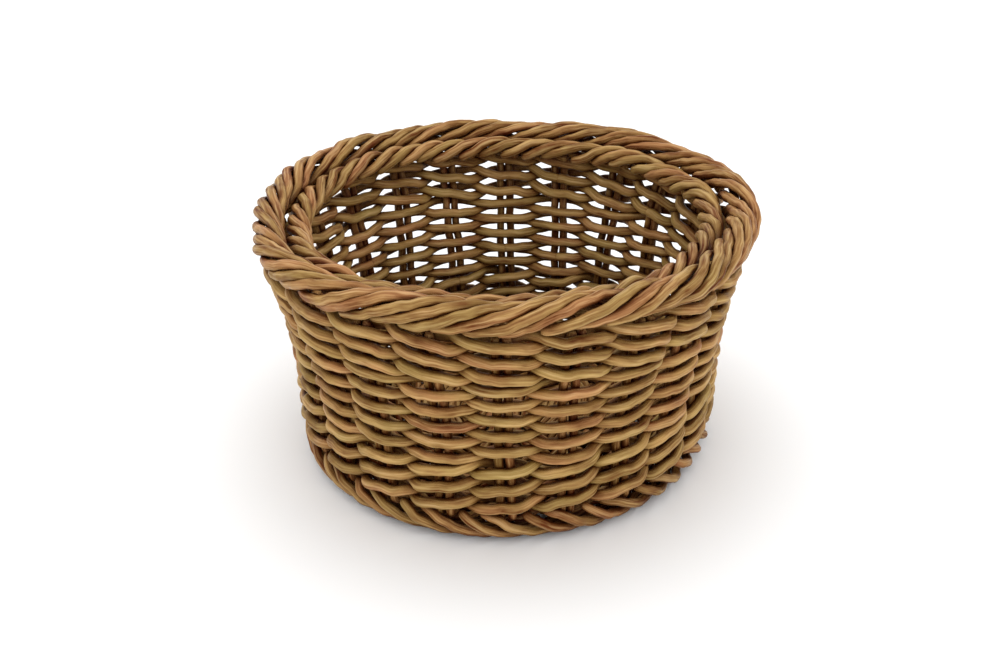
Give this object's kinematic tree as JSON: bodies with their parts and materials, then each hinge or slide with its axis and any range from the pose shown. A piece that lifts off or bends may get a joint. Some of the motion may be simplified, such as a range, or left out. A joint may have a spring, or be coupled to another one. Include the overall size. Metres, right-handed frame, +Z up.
{
  "type": "woven bread basket",
  "caption": "Round woven table basket with a flared open top, twined and plain-woven wall on upright stakes, a thick rope-twist rim and a slanting rope foot, for holding bread.",
  "frame": {"origin": "centre of the basket on the plane it rests on, at the middle of its round footprint", "axes": "+Z straight up out of the open mouth; +X and +Y level, +X along the lower layer of base sticks"},
  "size_m": [0.21, 0.2098, 0.1112],
  "materials": {
    "base_cord": "satin, finely streaked, warm brown",
    "stake_cord": "satin, finely streaked, reddish tan",
    "wall_cord": "satin, finely streaked, golden to reddish brown",
    "border_cord": "satin, finely streaked, golden to olive brown"
  },
  "bodies": {
    "root": {"base_stick_01": "base_cord", "base_stick_02": "base_cord", "base_stick_03": "base_cord", "base_stick_04": "base_cord", "base_stick_05": "base_cord", "base_stick_06": "base_cord", "base_stick_07": "base_cord", "base_stick_08": "base_cord", "base_stick_09": "base_cord", "base_stick_10": "base_cord", "base_stick_11": "base_cord", "base_lashing": "base_cord", "base_row_1": "base_cord", "base_row_2": "base_cord", "base_row_3": "base_cord", "base_row_4": "base_cord", "base_row_5": "base_cord", "base_row_6": "base_cord", "base_row_7": "base_cord", "stake_pair_01": "stake_cord", "stake_pair_02": "stake_cord", "stake_pair_03": "stake_cord", "stake_pair_04": "stake_cord", "stake_pair_05": "stake_cord", "stake_pair_06": "stake_cord", "stake_pair_07": "stake_cord", "stake_pair_08": "stake_cord", "stake_pair_09": "stake_cord", "stake_pair_10": "stake_cord", "stake_pair_11": "stake_cord", "stake_pair_12": "stake_cord", "stake_pair_13": "stake_cord", "stake_pair_14": "stake_cord", "stake_pair_15": "stake_cord", "stake_pair_16": "stake_cord", "stake_pair_17": "stake_cord", "stake_pair_18": "stake_cord", "stake_pair_19": "stake_cord", "stake_pair_20": "stake_cord", "stake_pair_21": "stake_cord", "stake_pair_22": "stake_cord", "lower_twined_row_1": "wall_cord", "lower_twined_row_2": "wall_cord", "lower_twined_row_3": "wall_cord", "plain_row_01": "wall_cord", "plain_row_02": "wall_cord", "plain_row_03": "wall_cord", "plain_row_04": "wall_cord", "plain_row_05": "wall_cord", "plain_row_06": "wall_cord", "plain_row_07": "wall_cord", "plain_row_08": "wall_cord", "plain_row_09": "wall_cord", "plain_row_10": "wall_cord", "upper_twined_row_1": "wall_cord", "upper_twined_row_2": "wall_cord", "upper_twined_row_3": "wall_cord", "rim_outer_rope": "border_cord", "rim_inner_rope": "border_cord", "foot_rope": "border_cord"}
  },
  "joints": []
}
